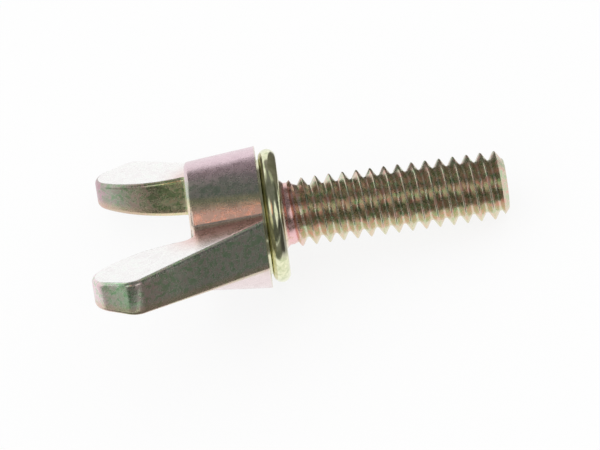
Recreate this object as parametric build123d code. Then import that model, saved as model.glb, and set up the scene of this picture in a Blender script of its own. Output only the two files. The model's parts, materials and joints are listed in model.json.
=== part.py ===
from build123d import *
from math import asin, atan2, cos, degrees, isclose, radians, sin, tan
import os

# A wing screw, cold-formed from one piece of steel and lying as it comes to rest.
# It is drawn upright first: the collar's bearing face is at Z = 0, the shank runs down from
# it, the head stands above it and the wings reach out along X. Then it is laid down.
# All lengths are in millimetres and all angles in degrees.

# Shank: the thread itself is not cut, so the shank has the thread's outer diameter
shank_length = 20.6
thread_diameter = 6.25
tip_diameter = 4.5
tip_chamfer_length = 0.7
neck_diameter = 5.7
neck_length = 0.7
neck_slope_length = 0.3
neck_root_size = 0.35

# Collar that bears on the work, and the narrow groove between it and the hub
collar_diameter = 12.3
collar_thickness = 1.6
collar_face_diameter = 11.0
groove_diameter = 10.6
groove_width = 0.2

# Hub: a cone that narrows upward by its draft
hub_base_diameter = 13.1
hub_height = 6.6
hub_draft = 5.4

# Wings, seen from the front
head_height = 17.35
wing_span = 32.4
root_span = 15.6
bend_drop = 3.6
bend_radius = 1.5
nose_span = 25.8
nose_radius = 2.4
inner_gap = 16.4
inner_straight = 0.3
web_radius = 0.8

# Wings, seen from the side
root_thickness = 4.9
tip_thickness = 2.6

# Rounded edges of the head: the corner between wing and hub, and the rims of the wings and of
# the hub's top. The rim of the hub's base is sharp.
junction_radius = 0.3
upper_edge_radius = 0.45

# How closely heights are compared, and how finely the lying angle is worked out
tolerance = 0.0001
angle_step = 0.001

# Heights and radii that follow from the sizes above
hub_base = collar_thickness + groove_width
hub_top = hub_base + hub_height
thread_radius = thread_diameter / 2
collar_radius = collar_diameter / 2
hub_base_radius = hub_base_diameter / 2
hub_top_radius = hub_base_radius - hub_height * tan(radians(hub_draft))


def touching_points(first, first_radius, second, second_radius):
    """Ends of the straight line that touches two circles and has both on its left."""
    along = second - first
    turn = asin((first_radius - second_radius) / along.length)
    across_angle = atan2(along.Y, along.X) - radians(90) + turn
    across = Vector(cos(across_angle), sin(across_angle))
    return first + across * first_radius, second + across * second_radius


def turned_body():
    """Shank, neck, collar, groove and hub as one turned form."""
    collar_bottom = (collar_face_diameter / 2, 0)
    collar_top = (collar_face_diameter / 2, collar_thickness)
    shank_corners = [
        (0, -shank_length),
        (tip_diameter / 2, -shank_length),
        (thread_radius, tip_chamfer_length - shank_length),
        (thread_radius, -neck_length - neck_slope_length),
        (neck_diameter / 2, -neck_length),
        (neck_diameter / 2, -neck_root_size),
        (neck_diameter / 2 + neck_root_size, 0),
        collar_bottom,
    ]
    collar_edge = ThreePointArc(collar_bottom, (collar_radius, collar_thickness / 2), collar_top)
    hub_corners = [
        collar_top,
        (groove_diameter / 2, collar_thickness),
        (groove_diameter / 2, hub_base),
        (hub_base_radius, hub_base),
        (hub_top_radius, hub_top),
        (0, hub_top),
        (0, -shank_length),
    ]
    half_section = make_face([Polyline(*shank_corners), collar_edge, Polyline(*hub_corners)])
    return revolve(Plane.XZ * half_section, axis=Axis.Z)


def wing_outline():
    """Front view of one wing and half of the web that carries it through the hub."""
    root = Vector(root_span / 2, hub_base)
    bend_centre = Vector(wing_span / 2 - bend_radius, head_height - bend_drop)
    nose_centre = Vector(nose_span / 2, head_height - nose_radius)
    outer_start, outer_end = touching_points(root, 0, bend_centre, bend_radius)
    end_start, end_end = touching_points(bend_centre, bend_radius, nose_centre, nose_radius)

    # The inner arc starts straight up and runs into the nose without a corner
    inner_start = Vector(inner_gap / 2, hub_top + web_radius + inner_straight)
    across = nose_centre.X - inner_start.X
    rise = nose_centre.Y - inner_start.Y
    inner_radius = (across**2 + rise**2 - nose_radius**2) / (2 * (across - nose_radius))
    inner_centre = inner_start + Vector(inner_radius, 0)
    inner_end = inner_centre + (nose_centre - inner_centre).normalized() * inner_radius

    base = Line((0, hub_base), root)
    outer_edge = Line(outer_start, outer_end)
    bend = TangentArc(outer_end, end_start, tangent=outer_edge % 1)
    end_edge = Line(end_start, end_end)
    nose = TangentArc(end_end, inner_end, tangent=end_edge % 1)
    inner_arc = TangentArc(inner_end, inner_start, tangent=nose % 1)
    inner_edge = Line(inner_start, inner_start - Vector(0, inner_straight))
    web_corner = Vector(inner_start.X - web_radius, hub_top)
    web_arc = TangentArc(inner_edge @ 1, web_corner, tangent=inner_edge % 1)
    web_top = Line(web_corner, (0, hub_top))
    middle = Line((0, hub_top), (0, hub_base))
    edges = [base, outer_edge, bend, end_edge, nose, inner_arc, inner_edge, web_arc, web_top, middle]
    return make_face(edges)


def wings():
    """Both wings with the web between them, thinner toward the tips."""
    one_side = wing_outline()
    outline = one_side + mirror(one_side, about=Plane.YZ)
    plate = extrude(Plane.XZ * outline, amount=root_thickness, both=True)
    corners = [
        (-root_thickness / 2, hub_base),
        (root_thickness / 2, hub_base),
        (tip_thickness / 2, head_height),
        (-tip_thickness / 2, head_height),
    ]
    side_view = make_face(Polyline(*corners, close=True))
    wedge = extrude(Plane.YZ * side_view, amount=wing_span, both=True)
    return plate & wedge


def lies_level(edge, height):
    """Whether a whole edge lies at one height."""
    return all(isclose((edge @ part).Z, height, abs_tol=tolerance) for part in (0, 0.5, 1))


def spans_hub(edge):
    """Whether an edge climbs the hub from its base to its top."""
    ends = sorted([(edge @ 0).Z, (edge @ 1).Z])
    return isclose(ends[0], hub_base, abs_tol=tolerance) and isclose(ends[1], hub_top, abs_tol=tolerance)


def is_upper_rim(edge):
    """Whether an edge follows the outline of a wing or of the hub's top."""
    runs_across = abs((edge % 0.5).Y) > 1 - tolerance
    beyond_hub = abs(edge.center().X) > hub_base_radius + junction_radius
    on_wing = beyond_hub and not lies_level(edge, hub_base)
    return not runs_across and (on_wing or lies_level(edge, hub_top))


def wing_screw():
    """The whole screw, upright, with its edges rounded as a forging's are."""
    screw = turned_body() + wings()
    screw = fillet(screw.edges().filter_by(spans_hub), junction_radius)
    return fillet(screw.edges().filter_by(is_upper_rim), upper_edge_radius)


def laid_down(shape, roll):
    """The shape on its side, head toward -X, with the wing toward -Y raised by the roll."""
    head_direction = Vector(-1, 0, 0).rotate(Axis.Y, lying_tilt)
    raised_wing_direction = Vector(0, -1, 0).rotate(Axis.X, -roll).rotate(Axis.Y, lying_tilt)
    lying_plane = Plane(origin=(0, 0, 0), x_dir=raised_wing_direction, z_dir=head_direction)
    return lying_plane.location * shape


def lowest(shape):
    """Height of the shape's lowest point."""
    return shape.bounding_box().min.Z


def resting_roll(screw):
    """Roll about the shank at which the lower wing just meets the surface."""
    wing_ends = split(screw, bisect_by=Plane.XY.offset(hub_top), keep=Keep.TOP)
    surface = lowest(laid_down(turned_body(), 0))
    clear, buried = 0, 90
    while buried - clear > angle_step:
        roll = (clear + buried) / 2
        if lowest(laid_down(wing_ends, roll)) > surface:
            clear = roll
        else:
            buried = roll
    return clear


# The screw lies on the end of its thread, the rim of its hub's base and the bend of its lower wing
rim_to_thread_end = hub_base + shank_length - tip_chamfer_length
lying_tilt = degrees(atan2(hub_base_radius - thread_radius, rim_to_thread_end))

upright_screw = wing_screw()
lying_roll = resting_roll(upright_screw)
lying_screw = laid_down(upright_screw, lying_roll)
box = lying_screw.bounding_box()
placed_screw = Pos(-box.center().X, -box.center().Y, -box.min.Z) * lying_screw

os.makedirs("parts", exist_ok=True)
export_step(placed_screw, "parts/wing_screw.step")
print("tilt", round(lying_tilt, 3), "roll", round(lying_roll, 3))
print("volume", round(placed_screw.volume, 2), "solids", len(placed_screw.solids()))
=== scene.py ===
import bpy
import json
from math import asin, atan2, cos, degrees, radians, sin
from mathutils import Matrix, Vector

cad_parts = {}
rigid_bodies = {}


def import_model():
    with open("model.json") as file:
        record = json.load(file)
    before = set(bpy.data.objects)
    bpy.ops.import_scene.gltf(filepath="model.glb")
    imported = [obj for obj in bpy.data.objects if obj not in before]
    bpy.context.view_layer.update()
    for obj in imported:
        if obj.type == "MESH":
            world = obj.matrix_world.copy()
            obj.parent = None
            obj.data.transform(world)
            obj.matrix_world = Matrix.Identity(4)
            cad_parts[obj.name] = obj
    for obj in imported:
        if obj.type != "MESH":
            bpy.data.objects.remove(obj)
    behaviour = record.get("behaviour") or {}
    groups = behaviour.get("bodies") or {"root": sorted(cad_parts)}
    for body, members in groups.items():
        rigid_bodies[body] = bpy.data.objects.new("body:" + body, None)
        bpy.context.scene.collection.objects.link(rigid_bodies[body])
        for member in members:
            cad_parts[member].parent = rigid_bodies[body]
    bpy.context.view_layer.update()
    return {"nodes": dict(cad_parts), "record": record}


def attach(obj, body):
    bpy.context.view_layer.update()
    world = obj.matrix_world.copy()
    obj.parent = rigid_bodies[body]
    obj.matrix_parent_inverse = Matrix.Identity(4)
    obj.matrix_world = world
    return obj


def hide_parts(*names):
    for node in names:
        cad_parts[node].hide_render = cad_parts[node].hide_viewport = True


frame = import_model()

# How the screw lies: on its side, on the end of its thread, the rim of its hub and one wing. The
# thread mount gives the line of the shank, and the bearing face mount lies on the side that the
# broad faces of the wings look to, so the shank can be modelled upright and then laid down.
bearing_face_to_thread_middle = 0.01045
mounts = {mount["name"]: mount for mount in frame["record"]["mounts"]}
head_direction = -Vector(mounts["thread"]["axis"]).normalized()
bearing_point = Vector(mounts["thread"]["pos_m"]) + head_direction * bearing_face_to_thread_middle
side_direction = (Vector(mounts["bearing_face"]["pos_m"]) - bearing_point).normalized()
raised_wing_direction = side_direction.cross(head_direction).normalized()
upright_axes = Matrix((raised_wing_direction, side_direction, head_direction)).transposed()
upright_to_lying = Matrix.Translation(bearing_point) @ upright_axes.to_4x4()

# Camera: it looks across the shank from above the raised wing, and is turned a little about its
# line of sight, so the thread's end points up to the right.
camera_distance = 0.3
camera_lens = 196.7
camera_nearest = 0.01
camera_above_wing = radians(20.47)
picture_turn = radians(7.81)
aim_right = 0.001554
aim_down = 0.000982
toward_camera = raised_wing_direction * cos(camera_above_wing) + side_direction * sin(camera_above_wing)
across_shank = raised_wing_direction * sin(camera_above_wing) - side_direction * cos(camera_above_wing)
picture_right = across_shank * sin(picture_turn) - head_direction * cos(picture_turn)
picture_up = toward_camera.cross(picture_right)
aim_point = bearing_point + picture_right * aim_right - picture_up * aim_down
camera_place = Matrix.Translation(aim_point + toward_camera * camera_distance)
camera_axes = Matrix((picture_right, picture_up, toward_camera)).transposed()
camera = bpy.data.objects.new("camera", bpy.data.cameras.new("camera"))
bpy.context.scene.collection.objects.link(camera)
camera.matrix_world = camera_place @ camera_axes.to_4x4()
camera.data.lens = camera_lens
camera.data.clip_start = camera_nearest
bpy.context.scene.camera = camera

# Wing screw: hub, collar, wings and shank are one cold forging of steel, the thread is rolled on
# the shank, and all of it is plated with yellow zinc. The head has the shape of the CAD part, cut
# off at the bearing face, and the threaded shank is modelled upright and joined on there.
merge_distance = 0.0000005
weld_distance = 0.000002
cut_threshold = 0.0000001
trimming_margin = 0.0002

thread_pitch = 0.00127
thread_turns = 18
steps_in_a_turn = 56
crest_radius = 0.00312
groove_radius = 0.00237
crest_width = 0.00012
groove_width = 0.00022
corner_rounding = 0.00009
corner_segments = 3
winding_start = -0.02214
shank_end = -0.0206
thread_top = -trimming_margin
thread_end = shank_end - trimming_margin

neck_radius = 0.00285
neck_end = -0.0007
neck_root_size = 0.00035
core_radius = 0.0023
taper_end = -0.0021
core_inset = 0.0003
core_end = shank_end + core_inset
overlap_with_head = 0.0003
steps_around = 72

blank_radius = 0.0032
blank_top_radius = 0.0026
blank_top = -0.00045
tip_radius = 0.00225
chamfer_slope = 0.8

sharp_edge = radians(34)
flat_face_weight = 100


def select_only(piece):
    bpy.ops.object.select_all(action="DESELECT")
    piece.select_set(True)
    bpy.context.view_layer.objects.active = piece


def edit_all(piece):
    """Opens the piece in edit mode with all of it selected."""
    select_only(piece)
    bpy.ops.object.mode_set(mode="EDIT")
    bpy.ops.mesh.select_all(action="SELECT")


def merge_doubles(distance):
    """Merges the corners that lie within this distance, and leaves all of the mesh selected."""
    bpy.ops.mesh.select_all(action="SELECT")
    bpy.ops.mesh.remove_doubles(threshold=distance)
    bpy.ops.mesh.select_all(action="SELECT")


def trim(place, direction):
    """Cuts off what lies beyond the place in this direction and closes the cut with a flat face."""
    bpy.ops.mesh.select_all(action="SELECT")
    bpy.ops.mesh.bisect(plane_co=place, plane_no=direction, use_fill=True, clear_outer=True,
                        threshold=cut_threshold)


def apply_modifiers(piece):
    select_only(piece)
    for modifier in list(piece.modifiers):
        bpy.ops.object.modifier_apply(modifier=modifier.name)


def drawn_line(name, points):
    """A line of edges through the points, left in edit mode with all of it selected."""
    bpy.ops.object.select_all(action="DESELECT")
    bpy.ops.mesh.primitive_plane_add(size=thread_pitch, location=(0, 0, 0))
    line = bpy.context.object
    line.name = name
    bpy.ops.object.mode_set(mode="EDIT")
    bpy.ops.mesh.select_mode(type="VERT")
    bpy.ops.mesh.select_all(action="SELECT")
    bpy.ops.mesh.merge(type="CENTER")
    bpy.ops.transform.translate(value=points[0])
    for point, next_point in zip(points, points[1:]):
        step = Vector(next_point) - Vector(point)
        bpy.ops.mesh.extrude_region_move(TRANSFORM_OT_translate={"value": step})
    bpy.ops.mesh.select_all(action="SELECT")
    return line


def wind(line, steps, turns=1, rise=0.0):
    """Turns the line about the upright axis, once or more often and rising with each turn."""
    winding = line.modifiers.new("winding", "SCREW")
    winding.axis = "Z"
    winding.screw_offset = rise
    winding.iterations = turns
    winding.steps = steps
    winding.render_steps = steps
    winding.use_merge_vertices = True
    winding.merge_threshold = merge_distance
    apply_modifiers(line)


def turned(name, section):
    """A closed turned form from the radii and heights of its section."""
    form = drawn_line(name, [(radius, 0, height) for radius, height in section])
    bpy.ops.object.mode_set(mode="OBJECT")
    wind(form, steps_around)
    edit_all(form)
    merge_doubles(weld_distance)
    bpy.ops.mesh.normals_make_consistent(inside=False)
    bpy.ops.object.mode_set(mode="OBJECT")
    return form


def combine(piece, tool, operation):
    """Joins one closed form with another, or keeps what they share, and uses the other up."""
    joining = piece.modifiers.new("joining", "BOOLEAN")
    joining.operation = operation
    joining.solver = "MANIFOLD"
    joining.object = tool
    apply_modifiers(piece)
    bpy.data.objects.remove(tool)


# Head: the forged hub, collar and wings
screw = bpy.data.objects.new("wing_screw_with_thread", frame["nodes"]["wing_screw"].data.copy())
bpy.context.scene.collection.objects.link(screw)
screw.data.materials.clear()
edit_all(screw)
bpy.ops.mesh.customdata_custom_splitnormals_clear()
merge_doubles(merge_distance)
trim(bearing_point, -head_direction)
bpy.ops.object.mode_set(mode="OBJECT")

# Thread: one pitch of a quarter-inch coarse thread with rounded corners, wound right-handed up the
# shank, then cut off just under the bearing face and just past the shank's end
thread = drawn_line("thread", [
    (groove_radius, 0, 0),
    (groove_radius, 0, groove_width / 2),
    (crest_radius, 0, (thread_pitch - crest_width) / 2),
    (crest_radius, 0, (thread_pitch + crest_width) / 2),
    (groove_radius, 0, thread_pitch - groove_width / 2),
    (groove_radius, 0, thread_pitch),
])
bpy.ops.mesh.select_all(action="DESELECT")
bpy.ops.object.mode_set(mode="OBJECT")
for vertex in thread.data.vertices:
    vertex.select = merge_distance < vertex.co.z < thread_pitch - merge_distance
bpy.ops.object.mode_set(mode="EDIT")
bpy.ops.mesh.bevel(affect="VERTICES", offset=corner_rounding, segments=corner_segments)
bpy.ops.object.mode_set(mode="OBJECT")
wind(thread, steps_in_a_turn, thread_turns, thread_pitch)
edit_all(thread)
bpy.ops.transform.translate(value=(0, 0, winding_start))
merge_doubles(weld_distance)
trim((0, 0, thread_top), (0, 0, 1))
trim((0, 0, thread_end), (0, 0, -1))
bpy.ops.mesh.select_all(action="SELECT")
bpy.ops.mesh.normals_make_consistent(inside=False)
bpy.ops.object.mode_set(mode="OBJECT")

# Core: the neck and the solid middle of the shank, whose taper fills the first grooves little by
# little, as a rolled thread runs out
core = turned("core", [
    (0, overlap_with_head),
    (neck_radius + neck_root_size + overlap_with_head, overlap_with_head),
    (neck_radius, -neck_root_size),
    (neck_radius, neck_end),
    (core_radius, taper_end),
    (core_radius, core_end),
    (0, core_end),
])

# Blank: the form that the wound thread is trimmed to, sloped under the neck and chamfered at the
# shank's end
blank = turned("blank", [
    (0, blank_top),
    (blank_top_radius, blank_top),
    (blank_radius, blank_top - (blank_radius - blank_top_radius)),
    (blank_radius, shank_end + (blank_radius - tip_radius) * chamfer_slope),
    (tip_radius, shank_end),
    (0, shank_end),
])
combine(thread, blank, "INTERSECT")
combine(thread, core, "UNION")
thread.data.transform(upright_to_lying)
combine(screw, thread, "UNION")

# Cleaning: the specks of mesh that the joining leaves loose beside the screw are deleted
edit_all(screw)
bpy.ops.mesh.dissolve_degenerate(threshold=merge_distance)
bpy.ops.mesh.select_mode(type="FACE")
bpy.ops.mesh.select_all(action="DESELECT")
bpy.ops.object.mode_set(mode="OBJECT")
broadest_face = max(screw.data.polygons, key=lambda face: face.area)
broadest_face.select = True
bpy.ops.object.mode_set(mode="EDIT")
bpy.ops.mesh.select_linked()
bpy.ops.mesh.select_all(action="INVERT")
bpy.ops.mesh.delete(type="VERT")
bpy.ops.object.mode_set(mode="OBJECT")

# Edges: round forms are shaded smoothly, and the edges of flat faces stay crisp
edit_all(screw)
bpy.ops.mesh.select_mode(type="EDGE")
bpy.ops.mesh.faces_shade_smooth()
bpy.ops.mesh.select_all(action="DESELECT")
bpy.ops.mesh.edges_select_sharp(sharpness=sharp_edge)
bpy.ops.mesh.mark_sharp()
bpy.ops.object.mode_set(mode="OBJECT")
flat_faces = screw.modifiers.new("flat_faces", "WEIGHTED_NORMAL")
flat_faces.mode = "FACE_AREA"
flat_faces.weight = flat_face_weight
flat_faces.keep_sharp = True
apply_modifiers(screw)

# Yellow zinc: a thin film over bright steel, whose tint changes between green, gold, pink and brown
# with its thickness, in soft patches with fine specks
millimetre = 0.001
zinc = bpy.data.materials.new("yellow_zinc")
zinc.use_nodes = True
nodes = zinc.node_tree.nodes
links = zinc.node_tree.links


def feed(socket, value):
    """Links a node's output to this input, or sets the input to a colour or a number."""
    if isinstance(value, bpy.types.NodeSocket):
        links.new(value, socket)
    elif isinstance(value, tuple):
        socket.default_value = (*value, 1)
    else:
        socket.default_value = value


def patches(per_millimetre, detail, roughness, distortion=0.0):
    """Cloudy patches from 0 to 1, with so many of them to a millimetre."""
    made = nodes.new("ShaderNodeTexNoise")
    feed(made.inputs["Vector"], in_millimetres)
    feed(made.inputs["Scale"], per_millimetre)
    feed(made.inputs["Detail"], detail)
    feed(made.inputs["Roughness"], roughness)
    feed(made.inputs["Distortion"], distortion)
    return made.outputs["Fac"]


def calculated(operation, first, second=0.0):
    """The result of one step of arithmetic."""
    made = nodes.new("ShaderNodeMath")
    made.operation = operation
    feed(made.inputs[0], first)
    feed(made.inputs[1], second)
    return made.outputs["Value"]


def between(value, low, high, start=0.0, end=1.0, steps="SMOOTHSTEP"):
    """The start number up to the low value, the end number from the high one, and between them."""
    made = nodes.new("ShaderNodeMapRange")
    made.interpolation_type = steps
    feed(made.inputs["Value"], value)
    feed(made.inputs["From Min"], low)
    feed(made.inputs["From Max"], high)
    feed(made.inputs["To Min"], start)
    feed(made.inputs["To Max"], end)
    return made.outputs["Result"]


def tints(value, *stops):
    """Colours that change through these places and tints."""
    made = nodes.new("ShaderNodeValToRGB")
    feed(made.inputs["Fac"], value)
    elements = made.color_ramp.elements
    while len(elements) < len(stops):
        elements.new(0.5)
    for element, (place, tint) in zip(elements, stops):
        element.position = place
        element.color = (*tint, 1)
    return made.outputs["Color"]


def mixed(share, first, second, blend="MIX"):
    """The first colour, with this share of the second over it."""
    made = nodes.new("ShaderNodeMix")
    made.data_type = "RGBA"
    made.blend_type = blend
    first_colour, second_colour = [socket for socket in made.inputs if socket.type == "RGBA"]
    feed(made.inputs["Factor"], share)
    feed(first_colour, first)
    feed(second_colour, second)
    return next(socket for socket in made.outputs if socket.type == "RGBA")


# Places on the upright screw, in millimetres: along the wings, out of their broad faces, and
# above the bearing face
places = nodes.new("ShaderNodeTexCoord")
upright = nodes.new("ShaderNodeMapping")
upright.vector_type = "TEXTURE"
upright.inputs["Location"].default_value = bearing_point
upright.inputs["Rotation"].default_value = upright_axes.to_euler()
upright.inputs["Scale"].default_value = (millimetre, millimetre, millimetre)
links.new(places.outputs["Object"], upright.inputs["Vector"])
in_millimetres = upright.outputs["Vector"]
split_place = nodes.new("ShaderNodeSeparateXYZ")
links.new(in_millimetres, split_place.inputs["Vector"])
along_wings = split_place.outputs["X"]
sideways = split_place.outputs["Y"]
height = split_place.outputs["Z"]
from_middle = calculated("ABSOLUTE", sideways)
from_axis_squared = calculated("ADD", calculated("POWER", calculated("ABSOLUTE", along_wings), 2),
                               calculated("POWER", from_middle, 2))
from_axis = calculated("SQRT", from_axis_squared)
facing = nodes.new("ShaderNodeVectorMath")
facing.operation = "DOT_PRODUCT"
facing.inputs[1].default_value = side_direction
links.new(places.outputs["Normal"], facing.inputs[0])
faces_sideways = calculated("ABSOLUTE", facing.outputs["Value"])

clouds = patches(per_millimetre=0.33, detail=3, roughness=0.6)
specks = patches(per_millimetre=1.6, detail=5, roughness=0.65, distortion=0.4)
fine_specks = patches(per_millimetre=3.2, detail=3, roughness=0.6)
grain = patches(per_millimetre=5, detail=4, roughness=0.6)

# Hub: grey-green to violet, with a gold and copper band along the roots of the wings
band_edge = (4.4, 3.95)
band_width = (2.8, 4.4)
hub_speck_share = 0.5
hub_clouds = tints(clouds, (0.36, (0.50, 0.60, 0.44)), (0.46, (0.62, 0.60, 0.52)),
                   (0.54, (0.66, 0.56, 0.55)), (0.64, (0.70, 0.52, 0.44)))
hub_specks = tints(specks, (0.38, (0.42, 0.50, 0.40)), (0.50, (0.62, 0.60, 0.54)),
                   (0.62, (0.74, 0.58, 0.60)))
band_tints = tints(between(from_middle, *band_width, steps="LINEAR"), (0.15, (0.85, 0.72, 0.62)),
                   (0.48, (0.92, 0.78, 0.56)), (0.68, (0.69, 0.68, 0.44)))
hub_tints = mixed(hub_speck_share, hub_clouds, hub_specks)
hub_tints = mixed(between(from_middle, *band_edge), hub_tints, band_tints)

# Wings: their narrow faces change from grey-green through brown and green to pink at the tips
wing_start = (7.0, 8.0)
wing_sides = (-2, 2)
wing_heights = (6.5, 19.5)
cloud_reach = 3.0
fine_speck_share = 0.4
wing_place = between(calculated("ADD", height, calculated("MULTIPLY", clouds, cloud_reach)),
                     *wing_heights, steps="LINEAR")
raised_wing_tints = tints(wing_place, (0.04, (0.62, 0.65, 0.58)), (0.20, (0.60, 0.61, 0.55)),
                          (0.42, (0.70, 0.76, 0.65)), (0.58, (0.73, 0.63, 0.59)),
                          (0.75, (0.78, 0.96, 0.76)), (0.86, (0.80, 0.73, 0.70)),
                          (0.95, (0.90, 0.76, 0.79)))
# Painted shade: the lower wing is tinted mostly darker than the raised wing, to offset the brighter
# surroundings that it mirrors
lower_wing_tints_with_painted_shade = tints(wing_place, (0.46, (0.90, 0.92, 0.59)), (0.615, (0.58, 0.48, 0.39)),
                         (0.815, (0.46, 0.48, 0.40)), (0.946, (0.60, 0.41, 0.47)))
wing_mottling = tints(specks, (0.42, (0.60, 0.84, 0.62)), (0.50, (1.0, 1.0, 1.0)),
                      (0.58, (0.98, 0.86, 0.92)))
wing_specks = tints(fine_specks, (0.40, (0.66, 0.86, 0.68)), (0.50, (1.0, 1.0, 1.0)),
                    (0.60, (0.98, 0.80, 0.82)))
wing_mottling = mixed(fine_speck_share, wing_mottling, wing_specks)
wing_tints = mixed(between(along_wings, *wing_sides), lower_wing_tints_with_painted_shade, raised_wing_tints)
wing_tints = mixed(1.0, wing_tints, wing_mottling, "MULTIPLY")

# Painted reflection: one rim of each wing is tinted warmer, and the wings grow thinner toward their tips
rim_at_root = 2.58
wing_taper = 0.074
painted_wing_rim = (0.4, 1.1)
painted_wing_rim_share = 0.55
painted_wing_rim_tint = (0.80, 0.56, 0.40)
rim_distance = calculated("ADD", sideways, rim_at_root)
rim_distance = calculated("SUBTRACT", rim_distance, calculated("MULTIPLY", height, wing_taper))
wing_tints = mixed(between(rim_distance, *painted_wing_rim, painted_wing_rim_share, 0.0), wing_tints, painted_wing_rim_tint)
head_tints = mixed(between(from_axis, *wing_start), hub_tints, wing_tints)

# Painted reflection: the hub is tinted pink on the side that lies up, and pale on the other side
painted_pink_side = (4.6, 6.3)
painted_pink_tint = (0.80, 0.62, 0.68)
painted_pale_side = (-1.5, -4.0)
painted_pale_tint = (0.88, 0.76, 0.76)
head_tints = mixed(between(sideways, *painted_pink_side), head_tints, painted_pink_tint)
head_tints = mixed(between(sideways, *painted_pale_side), head_tints, painted_pale_tint)

# Broad faces of the wings: painted reflections, nearly white, and copper toward the hub that they mirror
broad_face_turn = (0.90, 0.97)
broad_face_start = (6.6, 7.2)
hub_reflection_reach = (12.5, 8.0)
hub_reflection_height = (11.5, 7.0)
painted_hub_reflection_tint = (0.79, 0.48, 0.43)
on_broad_face = calculated("MULTIPLY", between(faces_sideways, *broad_face_turn),
                           between(from_axis, *broad_face_start))
broad_face_painted_reflections = tints(specks, (0.36, (0.94, 0.96, 0.93)), (0.50, (0.97, 0.96, 0.95)),
                         (0.64, (0.97, 0.94, 0.94)))
painted_hub_reflection_place = calculated("MULTIPLY", between(from_axis, *hub_reflection_reach), between(height, *hub_reflection_height))
broad_face_painted_reflections = mixed(painted_hub_reflection_place, broad_face_painted_reflections, painted_hub_reflection_tint)
head_tints = mixed(on_broad_face, head_tints, broad_face_painted_reflections)

# Collar: greenish gold, with a painted dark reflection along the lower rim of one side
hub_to_collar = (1.95, 1.65)
dark_rim_height = (0.70, 0.40)
dark_rim_radius = (5.5, 5.7)
dark_rim_start = (2.2, 1.2)
dark_rim_end = (-2.6, -1.2)
painted_collar_reflection_tint = (0.30, 0.29, 0.22)
collar_tints = tints(specks, (0.36, (0.64, 0.68, 0.43)), (0.60, (0.87, 0.87, 0.61)))
on_dark_side = calculated("MULTIPLY", between(sideways, *dark_rim_start), between(sideways, *dark_rim_end))
on_lower_rim = calculated("MULTIPLY", between(from_axis, *dark_rim_radius),
                          between(height, *dark_rim_height))
painted_collar_reflection = calculated("MULTIPLY", on_dark_side, on_lower_rim)
collar_tints = mixed(painted_collar_reflection, collar_tints, painted_collar_reflection_tint)
below_hub = between(height, *hub_to_collar)
screw_tints = mixed(below_hub, head_tints, collar_tints)

# Shank: a rosy neck, and a thread in olive green, gold and red
collar_to_neck = (0.1, -0.3)
thread_to_neck = (-1.9, -1.0)
# Painted reflection: the thread is tinted gold on the other side from the one that lies up
painted_gold_side = (-0.8, -2.6)
painted_gold_share = 0.5
painted_gold_tint = (0.84, 0.72, 0.42)
thread_tints = tints(specks, (0.36, (0.46, 0.60, 0.37)), (0.50, (0.71, 0.64, 0.49)),
                     (0.64, (0.86, 0.54, 0.45)))
thread_tints = mixed(between(sideways, *painted_gold_side, 0.0, painted_gold_share), thread_tints, painted_gold_tint)
neck_tints = tints(specks, (0.40, (0.80, 0.52, 0.46)), (0.58, (0.97, 0.62, 0.63)))
thread_tints = mixed(between(height, *thread_to_neck), thread_tints, neck_tints)
below_collar = between(height, *collar_to_neck)
screw_tints = mixed(below_collar, screw_tints, thread_tints)

# Gloss: satin with a fine grain, and smoother on the collar
satin = (0.20, 0.34)
satin_specks = (0.3, 0.7)
collar_roughness = 0.17
grain_strength = 0.25
collar_grain_strength = 0.01
grain_depth = 0.00004
on_collar = calculated("SUBTRACT", below_hub, below_collar)
satin_roughness = between(specks, *satin_specks, *satin)
bump = nodes.new("ShaderNodeBump")
feed(bump.inputs["Strength"], between(on_collar, 0, 1, grain_strength, collar_grain_strength, "LINEAR"))
feed(bump.inputs["Distance"], grain_depth)
feed(bump.inputs["Height"], grain)
metal = nodes["Principled BSDF"]
feed(metal.inputs["Metallic"], 1)
feed(metal.inputs["Base Color"], screw_tints)
feed(metal.inputs["Roughness"], between(on_collar, 0, 1, satin_roughness, collar_roughness, "LINEAR"))
feed(metal.inputs["Normal"], bump.outputs["Normal"])
screw.data.materials.clear()
screw.data.materials.append(zinc)
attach(screw, "root")
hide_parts("wing_screw")

# Floor: a plain sheet of white paper, matt and level, that the screw lies on. The camera sees it
# as nearly pure white with the screw's soft shadow, and the metal mirrors it as white.
floor_size = 4
paper_white = (0.95, 0.95, 0.95)
seen_white = 0.85
bpy.ops.object.select_all(action="DESELECT")
bpy.ops.mesh.primitive_plane_add(size=floor_size, location=(0, 0, 0))
floor = bpy.context.object
floor.name = "floor"


def matt(name, colour):
    """A matt material of one colour, for paper, cloth and card."""
    made = bpy.data.materials.new(name)
    made.use_nodes = True
    shader = made.node_tree.nodes["Principled BSDF"]
    shader.inputs["Base Color"].default_value = (*colour, 1)
    shader.inputs["Roughness"].default_value = 1
    shader.inputs["Specular IOR Level"].default_value = 0
    return made


paper = matt("white_paper", paper_white)
nodes = paper.node_tree.nodes
links = paper.node_tree.links
ray = nodes.new("ShaderNodeLightPath")
seen = calculated("MULTIPLY", ray.outputs["Is Camera Ray"], seen_white)
mirrored = calculated("MAXIMUM", ray.outputs["Is Glossy Ray"], ray.outputs["Is Transmission Ray"])
plain_white = nodes.new("ShaderNodeEmission")
whitened = nodes.new("ShaderNodeMixShader")
lit_paper, unlit_white = [socket for socket in whitened.inputs if socket.type == "SHADER"]
feed(whitened.inputs["Fac"], calculated("MAXIMUM", seen, mirrored))
feed(lit_paper, nodes["Principled BSDF"].outputs["BSDF"])
feed(unlit_white, plain_white.outputs["Emission"])
feed(nodes["Material Output"].inputs["Surface"], whitened.outputs["Shader"])
floor.data.materials.append(paper)

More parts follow.
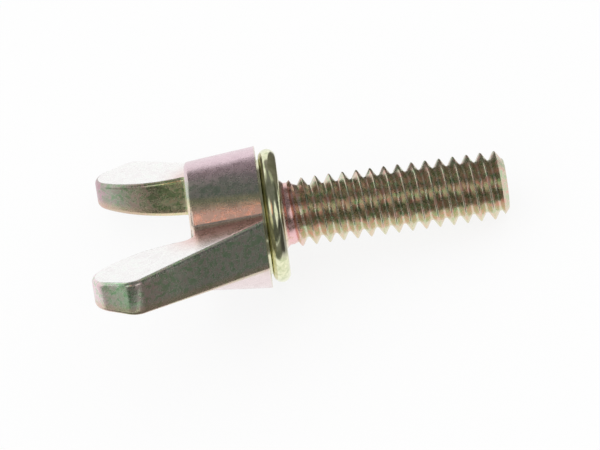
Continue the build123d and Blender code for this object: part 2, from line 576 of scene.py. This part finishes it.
# Room: white painted walls all round, far from the screw. Their even light falls on it from every
# side, so its shadow on the paper is soft and faint.
room = bpy.data.worlds.new("white_room")
room.use_nodes = True
room_light = room.node_tree.nodes["Background"]
room_light.inputs["Color"].default_value = (1, 1, 1, 1)
room_light.inputs["Strength"].default_value = 1
bpy.context.scene.world = room

# Tent: cloths over a round frame, put up for bright metal to mirror. Only mirrored rays meet it,
# so it neither lights nor shades anything. Each cloth has its colour and where it reaches: round
# the tent, in degrees from the front toward the thread's end, and in degrees above the floor.
tent_radius = 0.45
tent_segments = 120
tent_rings = 60
cloths = [
    ("back_cloth", (0.24, 0.22, 0.22), (-180, 180), (22, 47)),
    ("middle_cloth", (0.17, 0.17, 0.17), (-70, 130), (30, 60)),
    ("front_cloth", (0.10, 0.10, 0.09), (-40, 140), (0, 32)),
    ("left_cloth", (0.40, 0.42, 0.38), (-88, -40), (0, 32)),
    ("middle_cloth", (0.17, 0.17, 0.17), (-180, 180), (47, 90)),
    ("warm_cloth", (1.0, 0.50, 0.38), (-26, -2), (52, 70)),
    ("pale_cloth", (0.45, 0.46, 0.40), (116, 166), (24, 58)),
    ("pale_cloth", (0.45, 0.46, 0.40), (-166, -138), (47, 60)),
]
windows = [
    ((26, 70), (17, 50)),
    ((-72, -28), (44, 66)),
    ((-160, -88), (22, 47)),
]


def within(value, limits):
    return limits[0] <= value <= limits[1]


def only_mirrored(piece):
    """Keeps a piece of the studio out of sight and out of the light, but not out of mirrored rays."""
    piece.visible_camera = False
    piece.visible_diffuse = False
    piece.visible_shadow = False


bpy.ops.object.select_all(action="DESELECT")
bpy.ops.mesh.primitive_uv_sphere_add(segments=tent_segments, ring_count=tent_rings, radius=tent_radius)
tent = bpy.context.object
tent.name = "tent"
cloth_names = []
for name, colour, sides, heights in cloths:
    if name not in cloth_names:
        cloth_names.append(name)
        tent.data.materials.append(matt(name, colour))
bpy.ops.object.mode_set(mode="EDIT")
bpy.ops.mesh.select_mode(type="FACE")
bpy.ops.mesh.select_all(action="DESELECT")
bpy.ops.object.mode_set(mode="OBJECT")
for face in tent.data.polygons:
    x, y, z = face.center
    side = degrees(atan2(x, -y))
    above_floor = degrees(asin(z / face.center.length))
    shown = [name for name, colour, sides, heights in cloths
             if within(side, sides) and within(above_floor, heights)]
    in_window = any(within(side, sides) and within(above_floor, heights) for sides, heights in windows)
    face.select = in_window or not shown
    face.material_index = cloth_names.index(shown[-1]) if shown else 0
bpy.ops.object.mode_set(mode="EDIT")
bpy.ops.mesh.delete(type="FACE")
bpy.ops.object.mode_set(mode="OBJECT")
only_mirrored(tent)

# Cards: four pieces of matt grey card, cut square, three laid flat in front of the screw and one
# stood up behind its thread. The metal mirrors them in its lower faces.
card_height = 0.0006
dark_card_grey = (0.18, 0.18, 0.16)


def card(name, corner, along, across, colour):
    sheet = drawn_line(name, [corner, Vector(corner) + Vector(along)])
    bpy.ops.mesh.extrude_region_move(TRANSFORM_OT_translate={"value": across})
    bpy.ops.object.mode_set(mode="OBJECT")
    sheet.data.materials.append(matt(name, colour))
    only_mirrored(sheet)


card("front_card", (-0.05, -0.015, card_height), (0.5, 0, 0), (0, -0.10, 0), dark_card_grey)
card("left_card", (-0.07, -0.035, card_height), (-0.35, 0, 0), (0, -0.25, 0), (0.30, 0.33, 0.27))
card("shank_card", (0.006, -0.007, card_height), (0.05, 0, 0), (0, -0.008, 0), dark_card_grey)
card("thread_card", (0.001, 0.012, card_height), (0.035, 0, 0), (0, 0.004, 0.03), (0.20, 0.19, 0.17))

bpy.context.scene.view_settings.view_transform = "Standard"
